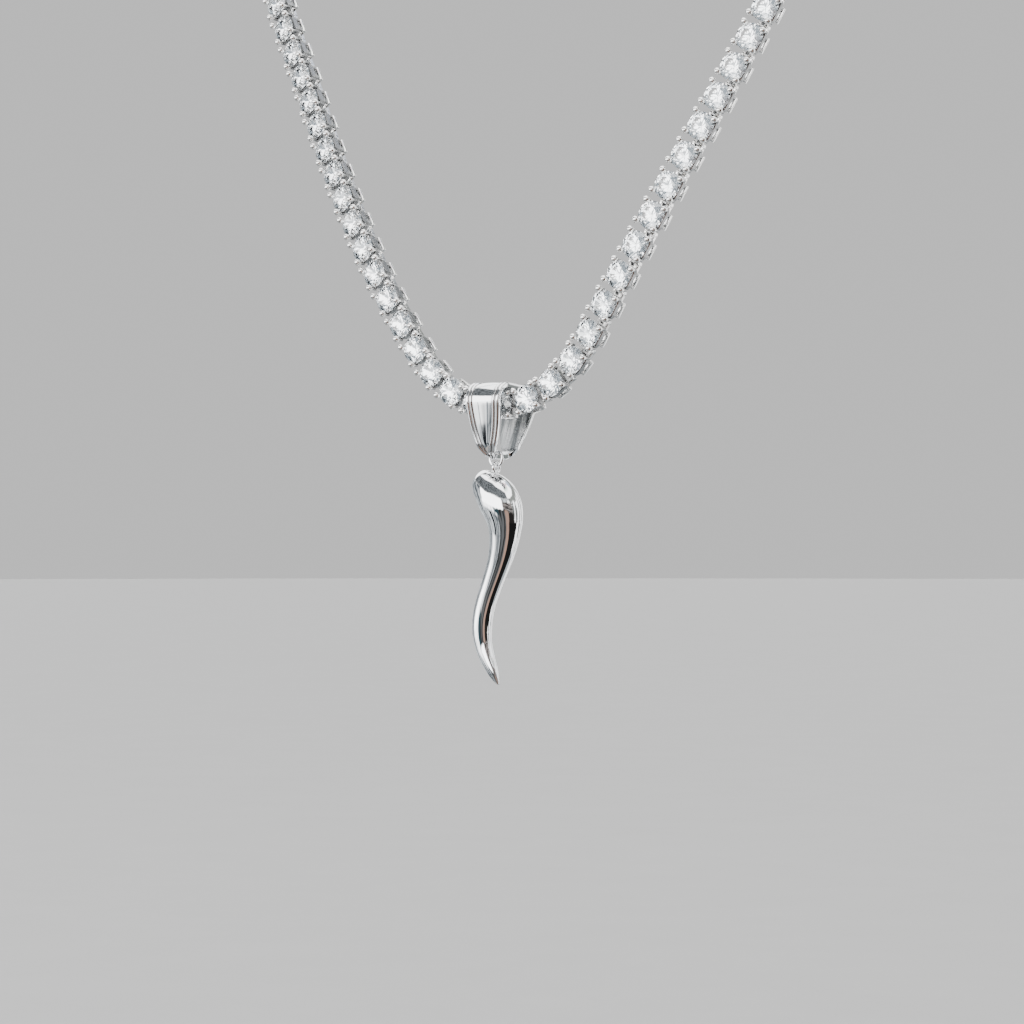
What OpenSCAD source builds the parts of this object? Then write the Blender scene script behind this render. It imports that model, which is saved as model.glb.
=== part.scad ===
// Horn pendant (cornicello) hanging by a wide bail from a four-prong tennis chain.
// The jewel is held up as it is worn. The origin is on the nape, in the middle of the clasp's
// inner face. The front looks towards -Y, +X is to the right in the front view, and +Z is up.
// A link's own frame has X along the chain, Y across it and Z out of its face, with its hinge
// line at Z = 0.

/* [Stones] */
// Diameter of each round stone
stone_d = 4.4; // [4:0.1:4.6]
// Width of a stone's flat table, between two opposite corners
table_d = 2.5; // [2:0.1:3]
// Height of the crown, from the girdle to the table
crown_h = 0.65; // [0.5:0.05:0.8]
// Depth of the pavilion, from the girdle to the point
pavilion_h = 1.9; // [1.7:0.05:2]
// Half the thickness of the girdle
girdle_half = 0.05; // [0.04:0.01:0.08]
// Clear gap between a stone and its setting
stone_gap = 0.1; // [0.1:0.01:0.12]

/* [Settings] */
// Distance between two hinge pins of the chain
link_pitch = 5.3; // [5.3:0.1:6]
// Diameter of a prong's wire
prong_d = 0.52; // [0.46:0.02:0.56]
// Diameter of the bead on top of a prong
bead_d = 1.02; // [0.9:0.02:1.06]
// Height of the girdle above the hinge line
girdle_up = 2.9; // [2.85:0.05:3.2]
// Distance from the girdle down to the top of the upper gallery
gallery_drop = 0.8; // [0.7:0.05:0.9]
// Height of the upper gallery
gallery_h = 1.05; // [0.9:0.05:1.15]
// Wall of the upper gallery at its thinnest
gallery_wall = 0.35; // [0.3:0.05:0.45]
// Diameter of the four legs below the gallery
leg_d = 0.6; // [0.5:0.05:0.7]
// Length of the two lower rails
rail_len = 2.7; // [2.5:0.1:2.9]
// Width of a lower rail, across the chain
rail_w = 0.6; // [0.5:0.05:0.7]
// Height of a lower rail
rail_h = 0.66; // [0.6:0.02:0.7]

/* [Hinges] */
// Diameter of the hinge pin
pin_d = 0.52; // [0.44:0.02:0.56]
// Clear gap round the pin in its eye
pin_play = 0.32; // [0.28:0.02:0.36]
// Wall of the eye
eye_wall = 0.3; // [0.26:0.02:0.34]
// Width of the eye along the pin
eye_w = 0.6; // [0.5:0.05:0.7]
// Clear gap between the eye and each lug
lug_gap = 0.42; // [0.4:0.02:0.5]
// Thickness of a lug, along the pin
lug_t = 0.35; // [0.3:0.05:0.4]

/* [Clasp] */
// Least distance that the clasp bridges, from pin to pin
clasp_min = 9.5; // [8.5:0.5:11]
// Width of the clasp's box, across the chain
clasp_w = 5; // [4.6:0.1:5.6]
// Thickness of the clasp's box
clasp_t = 3.4; // [3:0.1:3.8]
// Distance from the clasp's inner face to the hinge line
clasp_inset = 0.5; // [0.4:0.05:0.6]
// Radius of the clasp's long edges
clasp_edge_r = 0.6; // [0.4:0.1:0.8]

/* [Wearing] */
// How far the loop leans to one side as it is worn, in degrees
worn_lean = 3.5; // [0:0.5:4]
// Side from which that lean is seen straight on, in degrees round from the front
lean_seen_from = 35.5; // [25.5:5:45.5]

/* [Bail] */
// Height of the bail, from crest to foot
bail_h = 12.5; // [12:0.1:13.5]
// Greatest width of the bail, at the crest
bail_w = 6.6; // [6:0.1:7]
// Width of the bail just above its foot
shoulder_w = 2.6; // [2.2:0.1:2.8]
// Radius of the rounding at the lower end of the bail's outline
shoulder_r = 2.3; // [2.1:0.1:2.6]
// Width of the strip under the foot, which carries the jump ring
foot_w = 1; // [0.9:0.05:1.1]
// Thickness of the bail's plain middle field
bail_t = 0.6; // [0.55:0.01:0.7]
// Height of the raised rims over the middle field
rim_rise = 0.2; // [0.12:0.02:0.24]
// Width of the outer rim
outer_rim_w = 0.55; // [0.45:0.05:0.6]
// Width of the groove between the two rims
groove_w = 0.14; // [0.1:0.02:0.2]
// Width of the inner rim
inner_rim_w = 0.5; // [0.4:0.05:0.6]
// Room between the chain's face and the bail's front wall
front_room = 2; // [1.7:0.1:2.2]
// Room between the chain's back and the bail's rear wall
back_room = 2.85; // [2.4:0.05:3.2]
// Outer radius of the bail's rear curve
back_r = 3.5; // [3.2:0.1:3.8]
// Distance from the crest down to the middle of the rear curve
back_drop = 4; // [3.8:0.1:4.2]
// Distance from the upper beads' middle line forward to the bail's crest
crest_forward = 0.55; // [0.3:0.05:0.7]
// Height over the foot's upper side at which the strip for the jump ring begins
strip_rise = 0.3; // [0.25:0.05:0.5]
// Outer radius of the curve from the front wall to the foot
foot_front_r = 3.2; // [2.8:0.1:3.4]
// Outer radius of the curve from the foot to the rear wall
foot_rear_r = 2.6; // [2.4:0.1:3]
// Distance from the crest back to the middle of the foot's front curve
foot_back = 1.15; // [0.9:0.05:1.4]
// Length of the level strip between the foot's two curves
foot_flat = 1.9; // [1.5:0.05:2.2]
// Distance that the bail has slid down the chain from the middle stone
bail_slide = 0.9; // [0.6:0.1:1.1]
// Gap between the chain's highest bead and the bail that hangs on it
seat_gap = 0.2; // [0.15:0.01:0.25]

/* [Jump ring] */
// Inner diameter of the jump ring
ring_bore = 1.9; // [1.9:0.05:2.2]
// Wire of the jump ring
ring_wire = 0.5; // [0.42:0.02:0.56]
// Gap between the ring and the bail's foot that carries it
ring_gap = 0.12; // [0.1:0.01:0.14]

/* [Horn] */
// Length of the horn, from the top of its head to its tip
horn_len = 34.2; // [30:0.2:40]
// Greatest thickness of the horn's head
horn_d = 6.8; // [6:0.1:7.6]
// Sideways swing of the horn's curve, between its outermost bends
horn_sway = 4.6; // [3.6:0.1:5.4]
// Wire of the eye on the head
eye_wire = 0.52; // [0.46:0.02:0.54]
// Inner diameter of that eye
eye_bore = 1.1; // [1.05:0.05:1.2]
// Gap between the eye and the ring's wire that carries it
eye_gap = 0.08; // [0.06:0.01:0.1]
// Gap between the head's top and the lowest point of the ring
head_gap = 0.35; // [0.3:0.01:0.4]

/* [Hidden] */
$fn = 48;
overlap = 0.05;

// Route of the hinge line, one half, from the lowest point of the V to the nape. Columns: place,
// and the direction that the stones face there. The points are chosen by hand.
ROUTE = [
    [[0, -107.5, -126.4], [0, -0.99, 0.1]],
    [[2.65, -107.5, -126.3], [0, -0.99, 0.1]],
    [[7.75, -107.35, -124.8], [0, -0.99, 0.1]],
    [[12.2, -107.05, -121.9], [0.02, -0.99, 0.11]],
    [[15.8, -106.6, -118], [0.04, -0.99, 0.12]],
    [[20.2, -106, -111.5], [0.08, -0.98, 0.15]],
    [[25.9, -104.7, -102.6], [0.14, -0.97, 0.18]],
    [[32.5, -102.2, -91.6], [0.18, -0.96, 0.2]],
    [[38.9, -99, -80.6], [0.2, -0.96, 0.22]],
    [[46.3, -95, -67.1], [0.22, -0.95, 0.23]],
    [[53.6, -91.3, -53.3], [0.28, -0.92, 0.28]],
    [[60.8, -85, -38.5], [0.45, -0.78, 0.42]],
    [[66, -73.5, -25], [0.62, -0.5, 0.6]],
    [[67.5, -57.5, -15], [0.72, -0.15, 0.68]],
    [[64, -39.5, -8.5], [0.74, 0.2, 0.64]],
    [[55, -23, -4.5], [0.65, 0.5, 0.56]],
    [[41, -10, -2], [0.48, 0.76, 0.42]],
    [[22.5, -2, -0.5], [0.24, 0.94, 0.2]],
    [[0, 0, 0], [0, 1, 0]],
];
route_steps = 20;

// Vector helpers
function unit(v) = v / norm(v);
function mirrored(v) = [-v.x, v.y, v.z];
function reversed(list) = [for (i = [len(list) - 1:-1:0]) list[i]];

// A smooth curve through the chosen points. The half route is mirrored past both of its ends.
function row(i, c) =
    i < 0 ? mirrored(ROUTE[-i][c]) :
    i < len(ROUTE) ? ROUTE[i][c] : mirrored(ROUTE[2 * (len(ROUTE) - 1) - i][c]);
function smooth(i, c, u) =
    let (a = row(i - 1, c), b = row(i, c), d = row(i + 1, c), e = row(i + 2, c))
    0.5 * (2 * b + (d - a) * u + (2 * a - 5 * b + 4 * d - e) * u * u
           + (3 * b - a - 3 * d + e) * u * u * u);
function sampled(c) = [
    for (i = [0:len(ROUTE) - 2], k = [0:route_steps - 1]) smooth(i, c, k / route_steps),
    row(len(ROUTE) - 1, c)
];
nape_shift = [0, clasp_inset, 0];
LINE = [for (p = sampled(0)) p + nape_shift];
FACING = sampled(1);

// Length of the half route, and the links that fit on it beside the clasp
function length_to(i) = i == 0 ? 0 : norm(LINE[i] - LINE[i - 1]) + length_to(i - 1);
half_route = length_to(len(LINE) - 1);
side_links = floor((half_route - clasp_min / 2) / link_pitch - 0.5);

// Pins lie on the route at equal distances. The first is half a link from the middle.
function step_past(p, j) = norm(LINE[j + 1] - p) >= link_pitch ? j : step_past(p, j + 1);
function at_pitch(p, j) =
    let (s = LINE[j + 1] - LINE[j], m = LINE[j] - p, a = s * s, b = s * m,
         c = m * m - link_pitch * link_pitch)
    LINE[j] + (sqrt(b * b - a * c) - b) / a * s;
function pins_on(p, j, left) =
    left == 0 ? [[p, j]] :
    let (k = step_past(p, j)) concat([[p, j]], pins_on(at_pitch(p, k), k, left - 1));
function first_step(j) = LINE[j + 1].x >= link_pitch / 2 ? j : first_step(j + 1);
start_step = first_step(0);
start_share = (link_pitch / 2 - LINE[start_step].x)
    / (LINE[start_step + 1].x - LINE[start_step].x);
start_pin = LINE[start_step] + start_share * (LINE[start_step + 1] - LINE[start_step]);
HALF_PINS = pins_on(start_pin, start_step, side_links);
EVEN_PINS = concat([for (p = reversed(HALF_PINS)) mirrored(p[0])], [for (p = HALF_PINS) p[0]]);
middle_link = side_links;

// As it is worn, the loop leans: it is turned about a level line through the nape.
LEAN_LINE = [-sin(lean_seen_from), cos(lean_seen_from), 0];
function leaned(v) =
    v * cos(worn_lean) - cross(LEAN_LINE, v) * sin(worn_lean)
    + (LEAN_LINE * v) * (1 - cos(worn_lean)) * LEAN_LINE;

// A frame holds the middle of a link's hinge line and its three directions.
function frame_of(a, b, face) =
    let (x = unit(b - a), z = unit(face - (face * x) * x)) [(a + b) / 2, x, cross(z, x), z];
function half_facing(i) =
    i == 0 ? FACING[0] : FACING[round((HALF_PINS[i - 1][1] + HALF_PINS[i][1]) / 2)];
function link_facing(i) = leaned(
    i < middle_link ? mirrored(half_facing(middle_link - i)) : half_facing(i - middle_link)
);
PINS = [for (p = EVEN_PINS) leaned(p)];
function link_frame(i) = frame_of(PINS[i], PINS[i + 1], link_facing(i));
clasp_frame = frame_of(PINS[len(PINS) - 1], PINS[0], leaned([0, 1, 0]));
clasp_span = norm(PINS[0] - PINS[len(PINS) - 1]);
function placed(f, p) = f[0] + f[1] * p.x + f[2] * p.y + f[3] * p.z;

module in_frame(f) {
    multmatrix([
        [f[1].x, f[2].x, f[3].x, f[0].x],
        [f[1].y, f[2].y, f[3].y, f[0].y],
        [f[1].z, f[2].z, f[3].z, f[0].z],
        [0, 0, 0, 1]
    ]) children();
}

// Setting: what follows from the stone
prong_at = (stone_d / 2 + stone_gap + prong_d / 2) / sqrt(2);
crown_slope = atan(crown_h / ((stone_d - table_d) / 2));
bead_out = prong_at * sqrt(2) - stone_d / 2;
bead_up = girdle_up + girdle_half
    + (bead_d / 2 + stone_gap - bead_out * sin(crown_slope)) / cos(crown_slope);
gallery_top = girdle_up - gallery_drop;
gallery_foot = gallery_top - gallery_h;
pavilion_share = 1 - (gallery_drop - girdle_half) / pavilion_h;
gallery_bore = stone_d * pavilion_share + 4 * stone_gap;
gallery_side = max(gallery_bore + 2 * gallery_wall, 2 * prong_at + 0.2);
leg_across = gallery_side / 2 - leg_d / 2;
leg_along = rail_len / 2 - leg_d / 2;
rail_at = gallery_side / 2 - rail_w / 2 + 0.05;

// Hinge: the eye of one link turns round the pin of the one before it.
eye_bore_d = pin_d + 2 * pin_play;
eye_outer_d = eye_bore_d + 2 * eye_wall;
lug_at = eye_w / 2 + lug_gap;
lug_h = pin_d + 0.26;
tie_w = 0.5;

module prong() {
    translate([0, 0, gallery_top - 0.3]) cylinder(d = prong_d, h = bead_up - gallery_top + 0.3);
    translate([0, 0, bead_up]) sphere(d = bead_d);
}

module gallery() {
    translate([0, 0, gallery_foot]) difference() {
        translate([-gallery_side / 2, -gallery_side / 2, 0])
            cube([gallery_side, gallery_side, gallery_h]);
        translate([0, 0, -1]) cylinder(d = gallery_bore, h = gallery_h + 2);
    }
}

module lower_frame() {
    for (side = [-1, 1]) {
        translate([-rail_len / 2, side * rail_at - rail_w / 2, -rail_h / 2])
            cube([rail_len, rail_w, rail_h]);
        translate([side * leg_along - tie_w / 2, -rail_at, -rail_h / 2 + 0.06])
            cube([tie_w, 2 * rail_at, rail_h - 0.16]);
    }
}

// The eye sits on the pin at the start of a link, which lies half a span from its middle.
module eye_end(span, from) {
    translate([-span / 2, 0, 0]) rotate([90, 0, 0]) difference() {
        cylinder(d = eye_outer_d, h = eye_w, center = true);
        cylinder(d = eye_bore_d, h = eye_w + 1, center = true);
    }
    eye_back = -span / 2 + eye_bore_d / 2 + eye_wall / 2;
    translate([eye_back, -eye_w / 2, -rail_h / 2 + 0.1])
        cube([-from - eye_back + overlap, eye_w, rail_h - 0.24]);
}

// The pin at the end of a link, held between two lugs
module pin_end(span, from) {
    for (side = [-1, 1]) {
        lug_y = side > 0 ? lug_at : -lug_at - lug_t;
        translate([from - overlap, lug_y, -lug_h / 2 + 0.04])
            cube([span / 2 - from + overlap, lug_t, lug_h - 0.08]);
        translate([span / 2, lug_y, 0]) rotate([-90, 0, 0]) cylinder(d = lug_h, h = lug_t);
    }
    translate([span / 2, 0, 0]) rotate([90, 0, 0])
        cylinder(d = pin_d, h = 2 * lug_at + lug_t, center = true);
}

module setting() {
    for (x = [-1, 1], y = [-1, 1]) {
        translate([x * prong_at, y * prong_at, 0]) prong();
        translate([x * leg_along, y * leg_across, 0])
            cylinder(d = leg_d, h = gallery_foot + 0.2);
    }
    gallery();
    lower_frame();
    eye_end(link_pitch, leg_along);
    pin_end(link_pitch, leg_along);
}

// Stone: an eight-sided table, a sixteen-sided girdle and a pointed pavilion
girdle_sides = 16;
table_sides = girdle_sides / 2;
function ring_of(n, d, z) = [
    for (i = [0:n - 1]) [d / 2 * cos(360 * i / n), d / 2 * sin(360 * i / n), z]
];
STONE_POINTS = concat(
    ring_of(table_sides, table_d, girdle_half + crown_h),
    ring_of(girdle_sides, stone_d, girdle_half),
    ring_of(girdle_sides, stone_d, -girdle_half),
    [[0, 0, -girdle_half - pavilion_h]]
);
top_ring = table_sides;
low_ring = top_ring + girdle_sides;
culet = low_ring + girdle_sides;
function next(i, n) = (i + 1) % n;
STONE_FACES = concat(
    [[for (i = [table_sides - 1:-1:0]) i]],
    [for (i = [0:table_sides - 1]) [i, next(i, table_sides), top_ring + 2 * i + 1]],
    [for (i = [0:table_sides - 1]) [i, top_ring + 2 * i + 1, top_ring + 2 * i]],
    [for (i = [0:table_sides - 1])
        [next(i, table_sides), top_ring + next(2 * i + 1, girdle_sides), top_ring + 2 * i + 1]],
    [for (i = [0:girdle_sides - 1]) [top_ring + i, top_ring + next(i, girdle_sides), low_ring + i]],
    [for (i = [0:girdle_sides - 1])
        [top_ring + next(i, girdle_sides), low_ring + next(i, girdle_sides), low_ring + i]],
    [for (i = [0:girdle_sides - 1]) [low_ring + i, low_ring + next(i, girdle_sides), culet]]
);

module stone() {
    translate([0, 0, girdle_up]) polyhedron(points = STONE_POINTS, faces = STONE_FACES);
}

module chain_left() {
    color("silver") for (i = [0:middle_link - 1]) in_frame(link_frame(i)) setting();
}

module chain_right() {
    color("silver") for (i = [middle_link:2 * side_links]) in_frame(link_frame(i)) setting();
}

module stones_left() {
    color("aliceblue") for (i = [0:middle_link - 1]) in_frame(link_frame(i)) stone();
}

module stones_right() {
    color("aliceblue") for (i = [middle_link:2 * side_links]) in_frame(link_frame(i)) stone();
}

// Clasp: a plain box between the two ends of the chain, with its inner face on the nape
clasp_box = clasp_span - 2 * (eye_outer_d / 2 + 0.6);
module clasp() {
    color("silver") in_frame(clasp_frame) {
        translate([-clasp_box / 2, 0, -clasp_inset]) rotate([90, 0, 90]) linear_extrude(clasp_box) {
            translate([0, clasp_t / 2]) square([clasp_w, clasp_t - 2 * clasp_edge_r], center = true);
            translate([0, clasp_t / 2]) square([clasp_w - 2 * clasp_edge_r, clasp_t], center = true);
            for (x = [-1, 1], y = [clasp_edge_r, clasp_t - clasp_edge_r])
                translate([x * (clasp_w / 2 - clasp_edge_r), y]) circle(r = clasp_edge_r);
        }
        eye_end(clasp_span, clasp_box / 2);
        pin_end(clasp_span, clasp_box / 2);
    }
}

// Bail: its place follows the middle link and the beads beside it.
MIDDLE = link_frame(middle_link);
hang_x = placed(MIDDLE, [0, 0, girdle_up]).x - bail_slide;
face_reach = placed(MIDDLE, [0, -prong_at, bead_up]).y - bead_d / 2;
back_reach = placed(MIDDLE, [0, rail_at + rail_w / 2, -rail_h / 2]).y;
crest_y = placed(MIDDLE, [0, prong_at, bead_up]).y - crest_forward;
NEAR_TOPS = [
    for (i = [middle_link - 1:middle_link + 1], x = [-1, 1])
        let (p = placed(link_frame(i), [x * prong_at, prong_at, bead_up]))
            if (abs(p.x - hang_x) < bail_w / 2 + bead_d / 2) p.z + bead_d / 2
];
bail_wall = bail_t + rim_rise;
crest_z = max(NEAR_TOPS) + seat_gap + bail_wall;
front_r = crest_y - face_reach + front_room + bail_wall;
FRONT = [crest_y, crest_z - front_r];
BACK = [back_reach + back_room + bail_wall - back_r, crest_z - back_drop];
FOOT_FRONT = [crest_y + foot_back, crest_z - bail_h + foot_front_r];
FOOT_REAR = [crest_y + foot_back + foot_flat, crest_z - bail_h + foot_rear_r];

// Corners of the strip between the outer tangents of two circles, on the right of the way a to b
function tangent_dir(a, ra, b, rb) =
    let (d = b - a, along = atan2(d.y, d.x), lean = asin((rb - ra) / norm(d)))
    [cos(along - 90 - lean), sin(along - 90 - lean)];
function side_points(a, ra, b, rb) =
    let (n = tangent_dir(a, ra, b, rb)) [a + ra * n, b + rb * n];

// A belt laid round the bail's four curves, drawn with Y to the right and Z up
CURVES = [
    [FRONT, front_r],
    [FOOT_FRONT, foot_front_r],
    [FOOT_REAR, foot_rear_r],
    [BACK, back_r]
];
module belt(inset) {
    for (c = CURVES) translate(c[0]) circle(r = c[1] - inset);
    polygon([
        for (i = [0:3])
            let (c = CURVES[i], d = CURVES[next(i, 4)])
                for (p = side_points(c[0], c[1] - inset, d[0], d[1] - inset)) p
    ]);
}

module along_x(width) {
    translate([-width / 2, 0, 0]) rotate([90, 0, 90]) linear_extrude(width) children();
}

module belt_ring(outer_inset, inner_inset) {
    along_x(bail_w + 2) difference() {
        belt(outer_inset);
        belt(inner_inset);
    }
}

// Front outline of the bail: two large arcs that close in from the crest, a rounded lower end
// and a narrower strip below it, where the jump ring sits
groove_at = outer_rim_w + groove_w;
edge_sides = 180;
edge_drop = (bail_w - shoulder_w) / 2;
edge_h = bail_h - bail_wall - strip_rise;
edge_r = (edge_h * edge_h + edge_drop * edge_drop) / (2 * edge_drop);
module lens(inset) {
    intersection_for (side = [-1, 1])
        translate([side * (edge_r - bail_w / 2), crest_z]) circle(r = edge_r - inset, $fn = edge_sides);
}

end_z = crest_z - edge_h + shoulder_r;
module outline() {
    intersection() {
        lens(0);
        union() {
            translate([-bail_w, end_z]) square([2 * bail_w, bail_h]);
            translate([0, end_z]) circle(r = shoulder_r);
        }
    }
    translate([-foot_w / 2, crest_z - bail_h - 1]) square([foot_w, bail_h - edge_h + shoulder_r + 1]);
}

// The sunken parts between the rims: a narrow groove along each side and the wide middle field
module sunken() {
    difference() {
        lens(outer_rim_w);
        lens(groove_at);
    }
    lens(groove_at + inner_rim_w);
}

module from_front() {
    translate([0, crest_y + 30, 0]) rotate([90, 0, 0]) linear_extrude(60) children();
}

module bail() {
    color("gainsboro") translate([hang_x, 0, 0]) difference() {
        intersection() {
            belt_ring(0, bail_wall);
            from_front() outline();
        }
        intersection() {
            belt_ring(-1, rim_rise);
            from_front() sunken();
        }
    }
}

// Jump ring: it faces the front and hangs on the bail's foot.
foot_mid_z = crest_z - bail_h + bail_wall / 2;
ring_r = ring_bore / 2 + ring_wire / 2;
foot_sag = ring_bore / 2 - sqrt(ring_bore * ring_bore - foot_w * foot_w) / 2;
ring_z = foot_mid_z + bail_wall / 2 + foot_sag + ring_gap - ring_bore / 2;
ring_y = FOOT_FRONT.x;

module jump_ring() {
    color("silver") translate([hang_x, ring_y, ring_z]) rotate([90, 0, 0]) rotate_extrude()
        translate([ring_r, 0]) circle(d = ring_wire);
}

// Horn: columns are the share of the length from the head's end to the tip, the sideways place
// from the line that the horn hangs on as a share of the sway, and the thickness as a share of
// the greatest one.
HORN = [
    [0, -0.74, 0.015],
    [0.002, -0.73, 0.19],
    [0.005, -0.705, 0.32],
    [0.012, -0.65, 0.47],
    [0.023, -0.58, 0.605],
    [0.037, -0.49, 0.705],
    [0.054, -0.37, 0.8],
    [0.076, -0.2, 0.905],
    [0.104, -0.005, 0.985],
    [0.133, 0.14, 1],
    [0.161, 0.25, 0.98],
    [0.19, 0.32, 0.935],
    [0.218, 0.365, 0.877],
    [0.247, 0.38, 0.818],
    [0.275, 0.375, 0.76],
    [0.304, 0.35, 0.715],
    [0.361, 0.265, 0.64],
    [0.418, 0.13, 0.57],
    [0.475, -0.04, 0.527],
    [0.532, -0.22, 0.5],
    [0.589, -0.395, 0.492],
    [0.646, -0.53, 0.487],
    [0.703, -0.605, 0.483],
    [0.76, -0.61, 0.46],
    [0.817, -0.54, 0.41],
    [0.874, -0.39, 0.363],
    [0.931, -0.175, 0.28],
    [0.969, -0.03, 0.178],
    [0.99, 0.06, 0.086],
    [1, 0.11, 0.015],
];
horn_steps = 2;
horn_sides = 24;
pull_z = ring_z - ring_r;
eye_z = pull_z + ring_wire / 2 + eye_gap - eye_bore / 2;

function horn_row(i) = HORN[max(0, min(len(HORN) - 1, i))];
function horn_at(i, u) =
    let (a = horn_row(i - 1), b = horn_row(i), d = horn_row(i + 1), e = horn_row(i + 2))
    0.5 * (2 * b + (d - a) * u + (2 * a - 5 * b + 4 * d - e) * u * u
           + (3 * b - a - 3 * d + e) * u * u * u);
HORN_RINGS = [
    for (i = [0:len(HORN) - 2], k = [0:horn_steps - 1]) horn_at(i, k / horn_steps),
    HORN[len(HORN) - 1]
];
function horn_middle(i) = [HORN_RINGS[i][1] * horn_sway, -HORN_RINGS[i][0] * horn_len];
function horn_turn(i) =
    let (last = len(HORN_RINGS) - 1,
         d = horn_middle(min(last, i + 1)) - horn_middle(max(0, i - 1)))
    atan2(d.x, -d.y);
HORN_POINTS = [
    for (i = [0:len(HORN_RINGS) - 1], k = [0:horn_sides - 1])
        let (m = horn_middle(i), r = HORN_RINGS[i][2] * horn_d / 2,
             a = 360 * k / horn_sides, t = horn_turn(i))
        [m.x + r * cos(a) * cos(t), r * sin(a), m.y + r * cos(a) * sin(t)]
];
function horn_quad(i, k) =
    let (a = i * horn_sides + k, b = i * horn_sides + next(k, horn_sides))
    [[a, b, b + horn_sides], [a, b + horn_sides, a + horn_sides]];
HORN_FACES = concat(
    [[for (k = [horn_sides - 1:-1:0]) k]],
    [for (i = [0:len(HORN_RINGS) - 2], k = [0:horn_sides - 1], f = horn_quad(i, k)) f],
    [[for (k = [0:horn_sides - 1]) (len(HORN_RINGS) - 1) * horn_sides + k]]
);

// The head's highest point stays head_gap below the ring.
head_z = pull_z - ring_wire / 2 - head_gap - max([for (p = HORN_POINTS) p.z]);

module horn() {
    color("gainsboro") translate([hang_x, ring_y, 0]) {
        translate([0, 0, head_z]) polyhedron(points = HORN_POINTS, faces = HORN_FACES);
        translate([0, 0, eye_z]) rotate([0, 90, 0]) rotate_extrude()
            translate([(eye_bore + eye_wire) / 2, 0]) circle(d = eye_wire);
    }
}

horn();
jump_ring();
bail();
chain_left();
chain_right();
stones_left();
stones_right();
clasp();
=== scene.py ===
import math

import bmesh
import bpy
from mathutils import Matrix, Vector


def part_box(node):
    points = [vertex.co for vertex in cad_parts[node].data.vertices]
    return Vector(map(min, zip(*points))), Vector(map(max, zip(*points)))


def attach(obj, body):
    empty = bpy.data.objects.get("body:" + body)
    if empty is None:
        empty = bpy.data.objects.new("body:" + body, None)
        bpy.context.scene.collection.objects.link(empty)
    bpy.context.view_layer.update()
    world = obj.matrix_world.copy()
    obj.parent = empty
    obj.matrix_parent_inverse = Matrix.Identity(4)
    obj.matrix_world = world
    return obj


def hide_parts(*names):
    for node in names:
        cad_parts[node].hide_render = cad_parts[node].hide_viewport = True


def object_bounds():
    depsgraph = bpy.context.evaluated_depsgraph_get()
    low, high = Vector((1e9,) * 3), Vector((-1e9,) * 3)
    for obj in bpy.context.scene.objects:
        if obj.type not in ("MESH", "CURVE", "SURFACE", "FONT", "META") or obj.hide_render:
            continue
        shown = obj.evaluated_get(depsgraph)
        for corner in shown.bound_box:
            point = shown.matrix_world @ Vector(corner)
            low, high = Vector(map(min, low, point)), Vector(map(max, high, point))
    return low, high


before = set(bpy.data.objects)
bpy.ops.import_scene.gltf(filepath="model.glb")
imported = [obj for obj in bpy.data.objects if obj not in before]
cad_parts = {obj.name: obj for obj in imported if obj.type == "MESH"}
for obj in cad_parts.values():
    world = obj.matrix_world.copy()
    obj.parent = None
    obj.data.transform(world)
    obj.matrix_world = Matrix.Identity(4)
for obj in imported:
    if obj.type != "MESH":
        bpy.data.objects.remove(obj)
cad_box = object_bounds()

# Lengths below are in millimetres and are scaled to metres when a piece is placed.
MM = 0.001

# The photograph's frame, with the camera's turn in degrees
PHOTO_SIDE = 1024
FOCAL_PX = 3757.0
SENSOR_MM = 36.0
CAMERA_AWAY = 609.5
CAMERA_TURN = 35.5
# Pixel of the middle stone's girdle centre, at the lowest point of the chain
MIDDLE_STONE_PX = (500.0, 405.0)

# Stones and settings of the chain
STONE_R = 2.27
GIRDLE_HALF = 0.05
TABLE_SHARE = 0.56
TABLE_CORNERS = 8
# The half facets cross the girdle's level at this share of its radius
HALVES_SHARE = 0.985
GIRDLE_UP = 2.9
PRONG_R = 0.26
PRONG_AT = 1.81
BEAD_R = 0.55
BEAD_UP = 3.44
GALLERY_FOOT = 1.05
GALLERY_TOP = 2.1
GALLERY_HALF = 1.91
GALLERY_BORE_R = 1.53
GALLERY_EDGE = 0.12
# How far the gallery's round section is pushed out at its corners
GALLERY_CORNER = 1.27
LEG_R = 0.3
LEG_ALONG = 1.05
LEG_ACROSS = 1.61
RAIL_LEN = 2.7
RAIL_W = 0.6
RAIL_H = 0.66
RAIL_AT = 1.66
RAIL_EDGE = 0.14
CROSSBAR_W = 0.5
CROSSBAR_LOWER = 0.16
LINK_PITCH = 5.3
PIN_R = 0.26
EYE_BORE_R = 0.58
EYE_OUTER_R = 0.88
EYE_W = 0.6
LUG_AT = 0.72
LUG_T = 0.35
LUG_R = 0.39
ARM_LOWER = 0.24
LUG_LOWER = 0.08
ARM_EDGE = 0.06
HINGE_EDGE = 0.05
# How far two pieces of one casting run into each other
OVERLAP = 0.05
PRONG_SUNK = 0.3
LEG_SUNK = 0.2
# The bars and arms sit this much under the middle of the rails
BAR_DROP = 0.02

# Bail
BAIL_W = 6.6
BAIL_WALL = 0.8
RIM_RISE = 0.2
TONGUE_H = 12.2
FOOT_W = 1.0
OUTER_RIM_W = 0.55
GROOVE_W = 0.2
INNER_RIM_W = 0.44
LEAST_RIM_W = 0.02
RIM_EDGE_RISE = 0.03
# Points of the relief lower than this lie in a groove
GROOVE_LEVEL = 0.01
# The polished field between the rims bulges, and does so fully where half of it is this wide
FIELD_CROWN = 0.17
FIELD_CROWN_W = 1.6
# Powers that flatten the field's bulge and fill out the rims
FIELD_FLATNESS = 2.4
RIM_FULLNESS = 0.6
# The leaf keeps its width at first and is then rounded off
LEAF_FULL = 2.2
LEAF_ROUND = 0.62

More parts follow.
